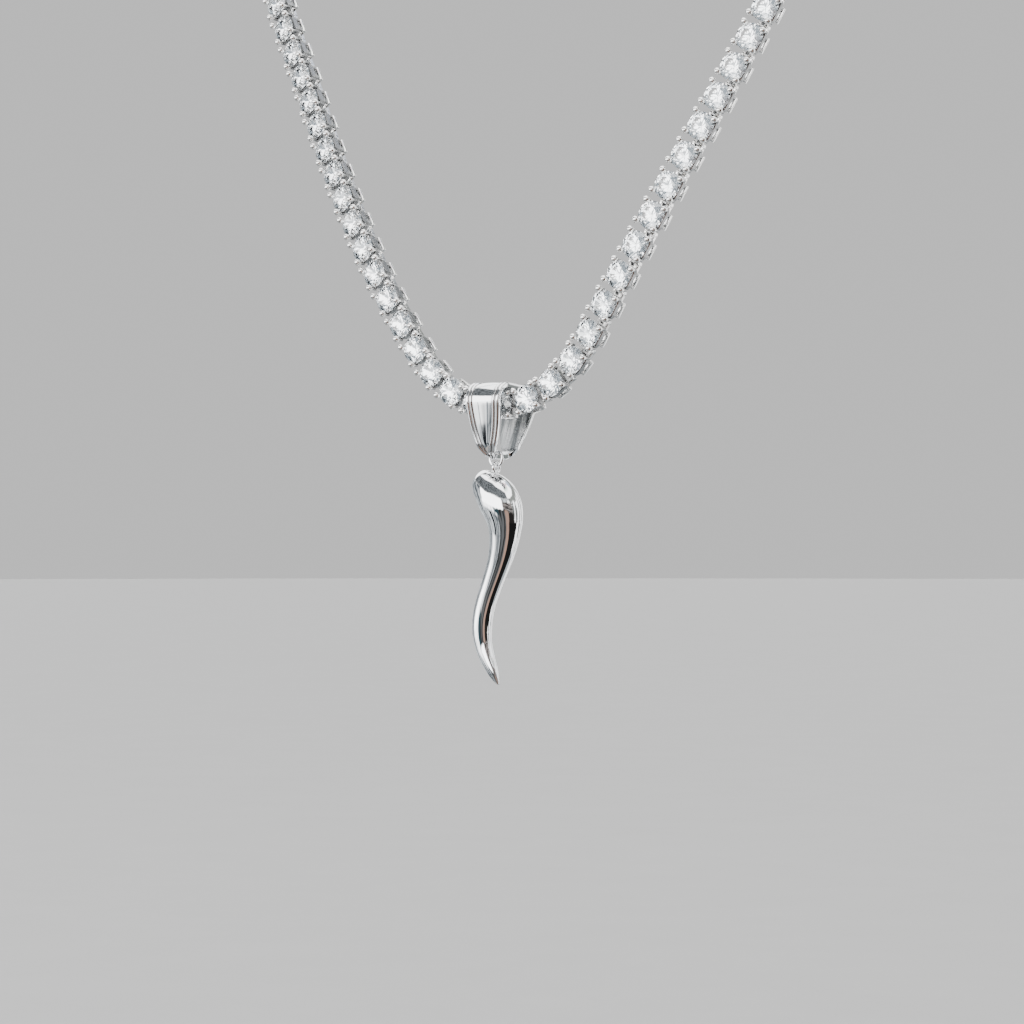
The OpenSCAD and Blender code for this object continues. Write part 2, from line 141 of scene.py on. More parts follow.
# The bail's four curves, from the side. Columns: back from the crest, up from the crest, radius.
BAIL_CURVES = [
    (0.0, -2.996, 2.996),
    (1.15, -9.3, 3.2),
    (3.05, -9.9, 2.6),
    (4.475, -4.0, 3.5),
]

# Jump ring, horn and the eye on its head
RING_R = 1.2
RING_WIRE_R = 0.25
HORN_LEN = 34.2
HORN_D = 6.8
HORN_SWAY = 4.6
HORN_EYE_R = 0.81
HORN_EYE_WIRE_R = 0.26
HEAD_GAP = 0.35
EYE_GAP = 0.08

# Floor, in metres
FLOOR_R = 6.0
FLOOR_BELOW_TIP = 0.09

# The horn's sections. Columns: share of its length, sideways place as a share of the sway,
# thickness as a share of the greatest one.
HORN = [
    (0.0, -0.74, 0.015),
    (0.002, -0.73, 0.19),
    (0.005, -0.705, 0.32),
    (0.012, -0.65, 0.47),
    (0.023, -0.58, 0.605),
    (0.037, -0.49, 0.705),
    (0.054, -0.37, 0.8),
    (0.076, -0.2, 0.905),
    (0.104, -0.005, 0.985),
    (0.133, 0.14, 1.0),
    (0.161, 0.25, 0.98),
    (0.19, 0.32, 0.935),
    (0.218, 0.365, 0.877),
    (0.247, 0.38, 0.818),
    (0.275, 0.375, 0.76),
    (0.304, 0.35, 0.715),
    (0.361, 0.265, 0.64),
    (0.418, 0.13, 0.57),
    (0.475, -0.04, 0.527),
    (0.532, -0.22, 0.5),
    (0.589, -0.395, 0.492),
    (0.646, -0.53, 0.487),
    (0.703, -0.605, 0.483),
    (0.76, -0.61, 0.46),
    (0.817, -0.54, 0.41),
    (0.874, -0.39, 0.363),
    (0.931, -0.175, 0.28),
    (0.969, -0.03, 0.178),
    (0.99, 0.06, 0.086),
    (1.0, 0.11, 0.015),
]


class Value:
    """A shader socket that takes part in Python sums and products."""

    def __init__(self, paint, socket):
        self.paint = paint
        self.socket = socket

    def math(self, operation, *others):
        settings = {"operation": operation}
        return self.paint.node("ShaderNodeMath", settings, [self, *others])

    def __add__(self, other):
        return self.math("ADD", other)

    def __sub__(self, other):
        return self.math("SUBTRACT", other)

    def __mul__(self, other):
        return self.math("MULTIPLY", other)

    def __rsub__(self, other):
        return self.paint.node("ShaderNodeMath", {"operation": "SUBTRACT"}, [other, self])

    __radd__ = __add__
    __rmul__ = __mul__

    def step(self, low, high):
        """0 below low, 1 above high, and a soft rise between them."""
        settings = {"interpolation_type": "SMOOTHSTEP"}
        return self.paint.node("ShaderNodeMapRange", settings, [self, low, high, 0.0, 1.0])

    def band(self, low, high, soft):
        """1 between low and high, with soft edges."""
        return self.step(low - soft, low + soft) * (1.0 - self.step(high - soft, high + soft))


class Paint:
    """Nodes of one material or of the surroundings, made by one method."""

    def __init__(self, owner):
        owner.use_nodes = True
        self.tree = owner.node_tree
        self.tree.nodes.clear()

    def plug(self, socket, value):
        if isinstance(value, Value):
            self.tree.links.new(value.socket, socket)
        elif hasattr(socket.default_value, "__len__") and isinstance(value, (int, float)):
            socket.default_value = [value] * len(socket.default_value)
        else:
            socket.default_value = value

    def node(self, kind, settings=None, inputs=(), out=0):
        made = self.tree.nodes.new(kind)
        for name, value in (settings or {}).items():
            setattr(made, name, value)
        pairs = inputs.items() if isinstance(inputs, dict) else enumerate(inputs)
        for key, value in pairs:
            self.plug(made.inputs[key], value)
        return Value(self, made.outputs[out]) if made.outputs else None

    def mix(self, share, first, second):
        """The first colour where share is 0, and the second where it is 1."""
        settings = {"data_type": "RGBA"}
        return self.node("ShaderNodeMix", settings, {0: share, 6: first, 7: second}, out=2)

    def noise(self, place, scale, detail=2.0, roughness=0.5):
        inputs = {"Vector": place, "Scale": scale, "Detail": detail, "Roughness": roughness}
        return self.node("ShaderNodeTexNoise", None, inputs, out=0)

    def stretched(self, place, scales):
        return self.node("ShaderNodeMapping", {"vector_type": "POINT"}, {0: place, 3: scales})

    def attribute(self, name):
        return self.node("ShaderNodeAttribute", {"attribute_name": name}, (), out=2)

    def place_on_object(self):
        return self.node("ShaderNodeTexCoord", None, (), out="Object")


def grey(value, tint=(1.0, 1.0, 1.0)):
    return (value * tint[0], value * tint[1], value * tint[2], 1.0)


def new_material(name):
    material = bpy.data.materials.new(name)
    return material, Paint(material)


def finish_material(paint, inputs):
    shader = paint.node("ShaderNodeBsdfPrincipled", None, inputs)
    paint.node("ShaderNodeOutputMaterial", None, {"Surface": shader})


def polished_silver(name, bright, dull, roughness, wear, is_bail=False):
    """Mirror polish with faint wiping lines and a slightly uneven skin.

    The bail's inner face stays satin, and its grooves are coloured a dark warm grey.
    """
    material, paint = new_material(name)
    place = paint.place_on_object()
    clouds = paint.noise(place, 180.0, 3.0)
    wiping = paint.noise(paint.stretched(place, (2600.0, 2600.0, 240.0)), 1.0, 4.0, 0.7)
    cross_wiping = paint.noise(paint.stretched(place, (420.0, 3100.0, 2400.0)), 1.0, 3.0, 0.7)
    lines = wiping.step(0.62, 0.74) + cross_wiping.step(0.64, 0.76) * 0.7
    specks = paint.noise(place, 2300.0, 1.0).step(0.72, 0.78)
    tone = clouds.step(0.35, 0.7)
    colour = paint.mix(tone, dull, bright)
    rough = roughness + clouds * (0.5 * roughness) + lines * wear + specks * wear
    if is_bail:
        inside = paint.attribute("inside")
        groove = paint.attribute("groove")
        drawn = paint.noise(paint.stretched(place, (900.0, 60.0, 60.0)), 1.0, 3.0, 0.6)
        satin = paint.mix(drawn.step(0.42, 0.6), grey(0.32, (0.9, 0.96, 1.0)),
                          grey(0.9, (0.97, 0.99, 1.0)))
        colour = paint.mix(inside, colour, satin)
        # The grooves are coloured a dark warm grey and made rougher.
        colour = paint.mix(groove * 0.85, colour, grey(0.12, (1.0, 0.93, 0.88)))
        rough = rough + inside * (0.24 + drawn * 0.12) + groove * 0.3
    height = clouds * 0.6 + lines * 0.12
    skin = paint.node("ShaderNodeBump", None, {
        "Strength": 0.06, "Distance": 0.00004, "Height": height})
    finish_material(paint, {
        "Base Color": colour, "Metallic": 1.0, "Roughness": rough, "Normal": skin})
    return material


def cast_silver(name):
    """Bright-dipped castings: smooth bright beads, upper prongs and upper rails, with painted
    shade between them on the legs, gallery and lower prongs, and lighter painted shade low on each
    link.

    The attribute level is 0 at the lowest point of a link and 1 at the top of its beads.
    """
    material, paint = new_material(name)
    place = paint.place_on_object()
    level = paint.attribute("level")
    grain = paint.noise(place, 900.0, 3.0, 0.6)
    pores = paint.noise(place, 3400.0, 2.0, 0.7)
    # Painted shade: the legs, gallery and lower prongs are darkened where shade falls under and
    # between the stones, and the lowest parts of each link a little. The grain adds faint random
    # tone.
    shaded = level.band(0.27, 0.71, 0.03)
    bead = level.step(0.74, 0.8)
    painted_shade_and_mottle = shaded * 0.82 + (1.0 - level.step(0.1, 0.2)) * 0.3 + grain.step(0.55, 0.75) * 0.08
    # The dark bluish grey is the colour of the painted shade.
    colour = paint.mix(painted_shade_and_mottle, grey(0.97, (1.0, 0.985, 0.965)), grey(0.2, (0.94, 0.97, 1.0)))
    rough = 0.1 + painted_shade_and_mottle * 0.16 + bead * 0.14 + pores * 0.06 * (1.0 - bead)
    skin = paint.node("ShaderNodeBump", None, {
        "Strength": 0.12, "Distance": 0.00005, "Height": (grain + pores * 0.4) * (1.0 - bead)})
    finish_material(paint, {
        "Base Color": colour, "Metallic": 1.0, "Roughness": rough, "Normal": skin})
    return material


def white_stone(name):
    """Clear zirconia, with a faint film on some facets."""
    material, paint = new_material(name)
    place = paint.place_on_object()
    film = paint.noise(place, 420.0, 2.0).step(0.5, 0.8)
    rough = 0.004 + film * 0.03
    colour = paint.mix(film, grey(1.0), grey(0.97, (0.98, 0.99, 1.0)))
    finish_material(paint, {
        "Base Color": colour, "Roughness": rough, "IOR": 2.1, "Transmission Weight": 1.0})
    return material


def pale_floor(name):
    """Light grey paint, a little clouded."""
    material, paint = new_material(name)
    place = paint.place_on_object()
    grain = paint.noise(place, 40.0, 4.0)
    colour = paint.mix(grain, grey(0.5), grey(0.54))
    finish_material(paint, {"Base Color": colour, "Roughness": 0.7})
    return material


def smooth_between(rows, i, u):
    """A point on the smooth curve through rows, a share u past row i."""
    a, b, c, d = (rows[max(0, min(len(rows) - 1, k))] for k in (i - 1, i, i + 1, i + 2))
    return tuple(
        0.5 * (2 * q + (r - p) * u + (2 * p - 5 * q + 4 * r - s) * u * u
               + (3 * q - p - 3 * r + s) * u ** 3)
        for p, q, r, s in zip(a, b, c, d))


def skin_over(rings, closed):
    """A skin drawn over rings of points, each ring extruded from the one before it."""
    bm = bmesh.new()
    last = [bm.verts.new(p) for p in rings[0]]
    edges = [bm.edges.new((v, last[(k + 1) % len(last)])) for k, v in enumerate(last)]
    ends = list(edges)
    for ring in rings[1:]:
        made = bmesh.ops.extrude_edge_only(bm, edges=edges)["geom"]
        fresh = {g for g in made if isinstance(g, bmesh.types.BMVert)}
        edges = [
            g for g in made
            if isinstance(g, bmesh.types.BMEdge) and fresh.issuperset(g.verts)]
        last = [
            next(e.other_vert(v) for e in v.link_edges if e.other_vert(v) in fresh)
            for v in last]
        for v, p in zip(last, ring):
            v.co = p
    if closed:
        bmesh.ops.bridge_loops(bm, edges=ends + edges)
    else:
        bmesh.ops.holes_fill(bm, edges=ends + edges, sides=len(last))
    bmesh.ops.recalc_face_normals(bm, faces=bm.faces)
    return bm


def turned(bm, matrix):
    """Turns or moves a bmesh, and gives it back."""
    bmesh.ops.transform(bm, matrix=matrix, verts=bm.verts)
    return bm


def joined(parts):
    """One bmesh from several, which are used up."""
    whole = bmesh.new()
    for part in parts:
        mesh = bpy.data.meshes.new("part")
        part.to_mesh(mesh)
        part.free()
        whole.from_mesh(mesh)
        bpy.data.meshes.remove(mesh)
    return whole


def block(size, centre, edge, segments=1):
    """A block with rounded or chamfered edges."""
    bm = bmesh.new()
    bmesh.ops.create_cube(bm, size=1.0, matrix=Matrix.Diagonal((*size, 1.0)))
    bmesh.ops.bevel(bm, geom=bm.edges, offset=edge, segments=segments, profile=0.5,
                    affect="EDGES", material=-1)
    return turned(bm, Matrix.Translation(centre))


def rod(radius, start, end, sides):
    """A round rod between two points."""
    start, end = Vector(start), Vector(end)
    length = (end - start).length
    bm = bmesh.new()
    bmesh.ops.create_cone(bm, cap_ends=True, segments=sides, radius1=radius,
                          radius2=radius, depth=length)
    turn = (end - start).to_track_quat("Z", "Y").to_matrix().to_4x4()
    return turned(bm, Matrix.Translation((start + end) / 2) @ turn)


def bead(radius, centre):
    bm = bmesh.new()
    bmesh.ops.create_uvsphere(bm, u_segments=16, v_segments=10, radius=radius)
    return turned(bm, Matrix.Translation(centre))


def spun(profile, steps):
    """A closed profile of (radius, height) pairs, spun once round Z."""
    bm = bmesh.new()
    verts = [bm.verts.new((r, 0.0, z)) for r, z in profile]
    edges = [bm.edges.new((v, verts[(k + 1) % len(verts)])) for k, v in enumerate(verts)]
    bmesh.ops.spin(bm, geom=verts + edges, cent=(0, 0, 0), axis=(0, 0, 1),
                   angle=2 * math.pi, steps=steps, use_merge=True)
    bmesh.ops.recalc_face_normals(bm, faces=bm.faces)
    return bm


def wire_ring(ring_r, wire_r, steps, sides):
    """A ring of round wire about Z."""
    angles = [2 * math.pi * k / sides for k in range(sides)]
    return spun([(ring_r + wire_r * math.cos(a), wire_r * math.sin(a)) for a in angles], steps)


def gallery():
    """A square ring under the stone, with round corners and a round bore."""
    inner, outer, low, high = GALLERY_BORE_R, GALLERY_HALF, GALLERY_FOOT, GALLERY_TOP
    edge = GALLERY_EDGE
    bm = spun([
        (inner, low), (outer - edge, low), (outer, low + edge),
        (outer, high - edge), (outer - edge, high), (inner, high)], steps=32)
    for v in bm.verts:
        away = math.hypot(v.co.x, v.co.y)
        if away > inner + edge / 2:
            across = max(abs(v.co.x), abs(v.co.y)) / away
            corner = min(1.0 / across, GALLERY_CORNER)
            v.co.x *= corner
            v.co.y *= corner
    return bm


def eye_end():
    """The hinge's eye and the arm that holds it, at the link's near end."""
    profile = [(EYE_BORE_R, -EYE_W / 2), (EYE_OUTER_R, -EYE_W / 2),
               (EYE_OUTER_R, EYE_W / 2), (EYE_BORE_R, EYE_W / 2)]
    tube = turned(spun(profile, steps=20), Matrix.Rotation(math.pi / 2, 4, "X"))
    turned(tube, Matrix.Translation((-LINK_PITCH / 2, 0, 0)))
    start = -LINK_PITCH / 2 + (EYE_BORE_R + EYE_OUTER_R) / 2
    end = -LEG_ALONG + OVERLAP
    arm = block((end - start, EYE_W, RAIL_H - ARM_LOWER),
                ((start + end) / 2, 0, -BAR_DROP), ARM_EDGE)
    return [tube, arm]


def pin_end():
    """The hinge's two lugs and the pin between them, at the link's far end."""
    parts = []
    end = LINK_PITCH / 2
    start = LEG_ALONG - OVERLAP
    for side in (-1, 1):
        middle = side * (LUG_AT + LUG_T / 2)
        low, high = middle - LUG_T / 2, middle + LUG_T / 2
        parts.append(block((end - start, LUG_T, 2 * LUG_R - LUG_LOWER),
                           ((start + end) / 2, middle, 0), HINGE_EDGE))
        parts.append(rod(LUG_R, (end, low, 0), (end, high, 0), sides=16))
    reach = LUG_AT + LUG_T / 2
    parts.append(rod(PIN_R, (end, -reach, 0), (end, reach, 0), sides=12))
    return parts


def setting():
    """One link: prongs with beads, gallery, legs, rails and both hinge halves."""
    parts = [gallery()]
    for x in (-1, 1):
        for y in (-1, 1):
            at = (x * PRONG_AT, y * PRONG_AT)
            prong_foot = GALLERY_TOP - PRONG_SUNK
            parts.append(rod(PRONG_R, (*at, prong_foot), (*at, BEAD_UP), sides=10))
            parts.append(bead(BEAD_R, (*at, BEAD_UP)))
            foot = (x * LEG_ALONG, y * LEG_ACROSS)
            leg_top = GALLERY_FOOT + LEG_SUNK
            parts.append(rod(LEG_R, (*foot, 0.0), (*foot, leg_top), sides=10))
    for side in (-1, 1):
        parts.append(block((RAIL_LEN, RAIL_W, RAIL_H), (0, side * RAIL_AT, 0), RAIL_EDGE,
                           segments=2))
        parts.append(block((CROSSBAR_W, 2 * RAIL_AT, RAIL_H - CROSSBAR_LOWER),
                           (side * LEG_ALONG, 0, -BAR_DROP), HINGE_EDGE))
    return joined(parts + eye_end() + pin_end())


def cut_facet(bm, azimuth, slope, point):
    """Grinds a flat facet through a point, facing out at an azimuth and a slope."""
    a, s = math.radians(azimuth), math.radians(slope)
    normal = Vector((math.sin(s) * math.cos(a), math.sin(s) * math.sin(a), math.cos(s)))
    whole = list(bm.verts) + list(bm.edges) + list(bm.faces)
    made = bmesh.ops.bisect_plane(bm, geom=whole, dist=1e-5, plane_co=point,
                                  plane_no=normal, clear_outer=True)["geom_cut"]
    edges = [g for g in made if isinstance(g, bmesh.types.BMEdge)]
    bmesh.ops.holes_fill(bm, edges=edges, sides=0)


def brilliant():
    """A round brilliant, cut facet by facet. Slopes are the usual ones, in degrees."""
    crown, star, upper_half = 34.5, 22.0, 41.0
    pavilion, lower_half = 41.0, 42.2
    table_r = TABLE_SHARE * STONE_R
    table_up = GIRDLE_HALF + (STONE_R - table_r) * math.tan(math.radians(crown))
    depth = GIRDLE_HALF + STONE_R * math.tan(math.radians(pavilion))
    halves_r = HALVES_SHARE * STONE_R
    bm = bmesh.new()
    bmesh.ops.create_cone(bm, cap_ends=True, segments=32, radius1=STONE_R, radius2=STONE_R,
                          depth=2 * depth)
    cut_facet(bm, 0, 0, (0, 0, table_up))

    def around(count, shift, slope, reach, height):
        for k in range(count):
            azimuth = shift + 360 * k / count
            a = math.radians(azimuth)
            cut_facet(bm, azimuth, slope, (reach * math.cos(a), reach * math.sin(a), height))

    around(8, 0, crown, STONE_R, GIRDLE_HALF)
    around(16, 11.25, upper_half, halves_r, GIRDLE_HALF)
    around(8, 22.5, star, table_r * math.cos(math.pi / 8), table_up)
    around(8, 0, 180 - pavilion, 0.0, -depth)
    around(16, 11.25, 180 - lower_half, halves_r, -GIRDLE_HALF)
    bmesh.ops.remove_doubles(bm, verts=bm.verts, dist=1e-4)
    bmesh.ops.recalc_face_normals(bm, faces=bm.faces)
    return turned(bm, Matrix.Translation((0, 0, GIRDLE_UP)))


def separate_stones(node_name):
    """The points of each stone of a node of the frame, in an order that never changes."""
    bm = bmesh.new()
    bm.from_mesh(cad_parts[node_name].data)
    bmesh.ops.remove_doubles(bm, verts=bm.verts, dist=1e-6)
    left = set(bm.verts)
    found = []
    while left:
        stack = [left.pop()]
        island = []
        while stack:
            v = stack.pop()
            island.append(v.co.copy())
            for edge in v.link_edges:
                other = edge.other_vert(v)
                if other in left:
                    left.remove(other)
                    stack.append(other)
        found.append(sorted(island, key=tuple))
    bm.free()
    return found


def stone_axes(points):
    """The middle of a stone's girdle, the way it faces, and its table's corners."""
    middle = sum(points, Vector()) / len(points)

    def seen_from(p):
        facing = (middle - p).normalized()
        return facing, sorted(points, key=lambda q: (q - p).dot(facing))

    def table_spread(p):
        """How uneven the stone's farthest points are, as seen from p: least from the culet."""
        facing, ordered = seen_from(p)
        return (ordered[-1] - ordered[-TABLE_CORNERS]).dot(facing)

    facing, ordered = seen_from(min(points, key=table_spread))
    table = ordered[-TABLE_CORNERS:]
    girdle = ordered[1:-TABLE_CORNERS]
    return sum(girdle, Vector()) / len(girdle), facing, table


def loop_angle(place, loop_middle):
    return math.atan2(place.x, loop_middle - place.y)


def link_matrices():
    """A matrix for each link, from its own millimetres to its place, in order round the loop."""
    low, high = Vector(cad_box[0]), Vector(cad_box[1])
    loop_middle = (low.y + high.y) / 2
    stones = []
    for name in ("stones_left", "stones_right"):
        side = [stone_axes(points) for points in separate_stones(name)]
        stones += sorted(side, key=lambda s: loop_angle(s[0], loop_middle))
    matrices = []
    for k, (girdle, facing, table) in enumerate(stones):
        before = stones[max(0, k - 1)][0]
        after = stones[min(len(stones) - 1, k + 1)][0]
        onward = (after - before).normalized()
        top = sum(table, Vector()) / len(table)
        along = max(((c - top).normalized() for c in table), key=lambda d: d.dot(onward))
        across = facing.cross(along)
        foot = girdle - facing * GIRDLE_UP * MM
        matrices.append(Matrix((
            (along.x * MM, across.x * MM, facing.x * MM, foot.x),
            (along.y * MM, across.y * MM, facing.y * MM, foot.y),
            (along.z * MM, across.z * MM, facing.z * MM, foot.z),
            (0, 0, 0, 1))))
    return matrices


def repeated(shape, matrices):
    """Copies of a shape, one for each matrix, with its own height kept as the level."""
    mesh = bpy.data.meshes.new("part")
    lowest = min(v.co.z for v in shape.verts)
    highest = max(v.co.z for v in shape.verts)
    layer = shape.verts.layers.float.new("level")
    for v in shape.verts:
        v[layer] = (v.co.z - lowest) / (highest - lowest)
    shape.to_mesh(mesh)
    shape.free()
    whole = bmesh.new()
    for matrix in matrices:
        start = len(whole.verts)
        whole.from_mesh(mesh)
        whole.verts.ensure_lookup_table()
        bmesh.ops.transform(whole, matrix=matrix, verts=whole.verts[start:])
    bpy.data.meshes.remove(mesh)
    return whole


def piece(name, bm, material, body, nodes, smooth_angle=None):
    """Makes the finished piece, hangs it on its body and hides the frame's nodes that it stands
    for.
    """
    mesh = bpy.data.meshes.new(name)
    bm.to_mesh(mesh)
    bm.free()
    made = bpy.data.objects.new(name, mesh)
    bpy.context.scene.collection.objects.link(made)
    mesh.materials.append(material)
    if smooth_angle is not None:
        mesh.shade_smooth()
        mesh.set_sharp_from_angle(angle=math.radians(smooth_angle))
    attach(made, body)
    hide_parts(*nodes)
    return made


# Places of the pendant's parts, read from the frame
bail_low, bail_high = (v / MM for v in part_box("bail"))
ring_low, ring_high = (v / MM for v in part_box("jump_ring"))
horn_low, horn_high = (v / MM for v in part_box("horn"))
ring_middle = (ring_low + ring_high) / 2
crest = Vector((ring_middle.x, bail_low.y + BAIL_CURVES[0][2], bail_high.z))


def tangent_normal(a, ra, b, rb):
    """The outward normal of the straight run between two circles, on the right of the way."""
    along = math.atan2(b[1] - a[1], b[0] - a[0])
    lean = math.asin((rb - ra) / math.dist(a, b))
    return along - math.pi / 2 - lean


def belt_stations(arc_steps, run_steps):
    """Points and outward normals round the bail, in the YZ plane, from its outer skin."""
    circles = [((back, up), radius) for back, up, radius in BAIL_CURVES]
    count = len(circles)
    turns = [tangent_normal(*circles[k], *circles[(k + 1) % count]) for k in range(count)]
    stations = []
    for k in range(count):
        (cy, cz), r = circles[k]
        start, end = turns[k - 1], turns[k]
        while end < start:
            end += 2 * math.pi
        for step in range(arc_steps + 1):
            a = start + (end - start) * step / arc_steps
            stations.append((cy + r * math.cos(a), cz + r * math.sin(a), a))
        (ny, nz), nr = circles[(k + 1) % count]
        a = turns[k]
        first = (cy + r * math.cos(a), cz + r * math.sin(a))
        last = (ny + nr * math.cos(a), nz + nr * math.sin(a))
        for step in range(1, run_steps):
            u = step / run_steps
            stations.append((first[0] + (last[0] - first[0]) * u,
                             first[1] + (last[1] - first[1]) * u, a))
    return stations


def bail_half_width(depth):
    """Half the bail's width at a depth below the crest: a tongue that ends in the foot's strip."""
    share = min(1.0, max(0.0, depth) / TONGUE_H)
    return FOOT_W / 2 + (BAIL_W - FOOT_W) / 2 * (1 - share ** LEAF_FULL) ** LEAF_ROUND


def rim_profile(half):
    """The bail's outer relief: (sideways place, height over the groove) from middle to edge."""
    steps = 8
    outer = min(OUTER_RIM_W, half / 2)
    inner_end = half - outer - GROOVE_W
    inner = min(INNER_RIM_W, max(LEAST_RIM_W, inner_end / 2))
    field = max(LEAST_RIM_W / 2, inner_end - inner)
    crown = FIELD_CROWN * min(1.0, field / FIELD_CROWN_W)
    profile = [
        (field * k / steps, crown * (1 - (k / steps) ** FIELD_FLATNESS))
        for k in range(steps + 1)]
    # The field ends where the inner rim starts, so the inner rim's first point is left out
    for start, width, first in ((inner_end - inner, inner, 1), (half - outer, outer, 0)):
        for k in range(first, steps + 1):
            lift = RIM_RISE * math.sin(math.pi * k / steps) ** RIM_FULLNESS
            profile.append((start + width * k / steps, lift))
    profile[-1] = (half, RIM_EDGE_RISE)
    return profile


def bail_skin():
    """The bail, with its inner face and its grooves marked in the attributes inside and groove."""
    inner_steps = 12
    rings = []
    lifts = []
    for y, z, a in belt_stations(arc_steps=34, run_steps=16):
        half = bail_half_width(-z)
        relief = rim_profile(half)
        outward = Vector((0, math.cos(a), math.sin(a)))
        base = Vector((0, y, z)) - outward * RIM_RISE
        across = [(-x, h) for x, h in reversed(relief[1:])] + relief
        lifts.append([h for x, h in across])
        ring = [base + outward * h + Vector((x, 0, 0)) for x, h in across]
        inner = base - outward * (BAIL_WALL - RIM_RISE)
        ring += [
            inner + Vector((half * (1 - 2 * k / inner_steps), 0, 0))
            for k in range(inner_steps + 1)]
        rings.append([p + crest for p in ring])
    bm = skin_over(rings, closed=True)
    inside = bm.verts.layers.float.new("inside")
    groove = bm.verts.layers.float.new("groove")
    bm.verts.index_update()
    for v in bm.verts:
        row, place = divmod(v.index, len(ring))
        is_outer = place < len(across)
        v[inside] = 1.0 if place > len(across) else 0.0
        v[groove] = 1.0 if is_outer and lifts[row][place] < GROOVE_LEVEL else 0.0
    return bm


def horn_skin():
    """The horn, its rings square to its middle line."""
    sides, steps = 96, 5
    rows = [
        smooth_between(HORN, i, k / steps) for i in range(len(HORN) - 1) for k in range(steps)]
    rows.append(HORN[-1])
    middles = [Vector((row[1] * HORN_SWAY, -row[0] * HORN_LEN)) for row in rows]
    rings = []
    for i, row in enumerate(rows):
        onward = middles[min(len(rows) - 1, i + 1)] - middles[max(0, i - 1)]
        turn = math.atan2(onward.x, -onward.y)
        r = max(0.0, row[2]) * HORN_D / 2
        angles = [2 * math.pi * k / sides for k in range(sides)]
        rings.append([
            Vector((middles[i].x + r * math.cos(a) * math.cos(turn),
                    r * math.sin(a),
                    middles[i].y + r * math.cos(a) * math.sin(turn)))
            for a in angles])
    top = max(p.z for ring in rings for p in ring)
    head = Vector((ring_middle.x, ring_middle.y, ring_low.z - HEAD_GAP - top))
    return skin_over([[p + head for p in ring] for ring in rings], closed=False)


def horn_with_eye():
    """The horn and the eye on its head, which hangs on the foot of the jump ring."""
    pull = ring_middle.z - RING_R
    eye_z = pull + RING_WIRE_R + EYE_GAP - (HORN_EYE_R - HORN_EYE_WIRE_R)
    eye = wire_ring(HORN_EYE_R, HORN_EYE_WIRE_R, steps=48, sides=16)
    turned(eye, Matrix.Rotation(math.pi / 2, 4, "Y"))
    turned(eye, Matrix.Translation((ring_middle.x, ring_middle.y, eye_z)))
    return joined([horn_skin(), eye])


def jump_ring():
    ring = wire_ring(RING_R, RING_WIRE_R, steps=64, sides=20)
    turned(ring, Matrix.Rotation(math.pi / 2, 4, "X"))
    return turned(ring, Matrix.Translation(ring_middle))


to_metres = Matrix.Scale(MM, 4)
links = link_matrices()
half_count = len(links) // 2
middle_link = links[half_count]
middle_stone = middle_link @ Vector((0, 0, GIRDLE_UP))

settings_silver = cast_silver("settings_silver")
stone_clear = white_stone("stone_clear")
horn_silver = polished_silver(
    "horn_polish", grey(0.93, (0.985, 0.99, 1.0)), grey(0.86, (0.98, 0.99, 1.0)),
    roughness=0.03, wear=0.05)
bail_silver = polished_silver(
    "bail_polish", grey(0.93, (0.99, 0.992, 1.0)), grey(0.85, (0.98, 0.99, 1.0)),
    roughness=0.035, wear=0.06, is_bail=True)
ring_silver = polished_silver(
    "ring_polish", grey(0.95, (0.99, 0.99, 1.0)), grey(0.88, (0.98, 0.99, 1.0)),
    roughness=0.12, wear=0.07)
clasp_silver = polished_silver(
    "clasp_polish", grey(0.9, (0.99, 0.99, 1.0)), grey(0.8, (0.98, 0.99, 1.0)),
    roughness=0.07, wear=0.09)

sides = (
    ("left", links[:half_count]),
    ("right", links[half_count:]),
)
for side, places in sides:
    piece(f"settings_{side}", repeated(setting(), places), settings_silver, "chain",
          [f"chain_{side}"], smooth_angle=40)
    piece(f"brilliants_{side}", repeated(brilliant(), places), stone_clear, "chain",
          [f"stones_{side}"])
piece("horn_polished", turned(horn_with_eye(), to_metres), horn_silver, "horn",
      ["horn"], smooth_angle=60)
piece("bail_polished", turned(bail_skin(), to_metres), bail_silver, "bail",
      ["bail"], smooth_angle=50)
piece("jump_ring_polished", turned(jump_ring(), to_metres), ring_silver, "jump_ring",
      ["jump_ring"], smooth_angle=60)
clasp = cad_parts["clasp"]
clasp.data.materials.clear()
clasp.data.materials.append(clasp_silver)


def photo_camera():
    """The photograph's camera: level, and turned to the right of the front."""
    turn = math.radians(CAMERA_TURN)
    ahead = Vector((-math.sin(turn), math.cos(turn), 0))
    right = Vector((math.cos(turn), math.sin(turn), 0))
    up = Vector((0, 0, 1))
    mm_per_px = CAMERA_AWAY / FOCAL_PX
    aside = (MIDDLE_STONE_PX[0] - PHOTO_SIDE / 2) * mm_per_px
    above = (PHOTO_SIDE / 2 - MIDDLE_STONE_PX[1]) * mm_per_px
    place = middle_stone - MM * (ahead * CAMERA_AWAY + right * aside + up * above)
    data = bpy.data.cameras.new("photo_camera")
    data.sensor_width = SENSOR_MM
    data.lens = FOCAL_PX / PHOTO_SIDE * SENSOR_MM
    data.clip_start = 0.01
    data.clip_end = 50.0
    camera = bpy.data.objects.new("photo_camera", data)
    bpy.context.scene.collection.objects.link(camera)
    camera.matrix_world = Matrix((
        (right.x, up.x, -ahead.x, place.x),
        (right.y, up.y, -ahead.y, place.y),
        (right.z, up.z, -ahead.z, place.z),
        (0, 0, 0, 1)))
    bpy.context.scene.camera = camera
    return camera


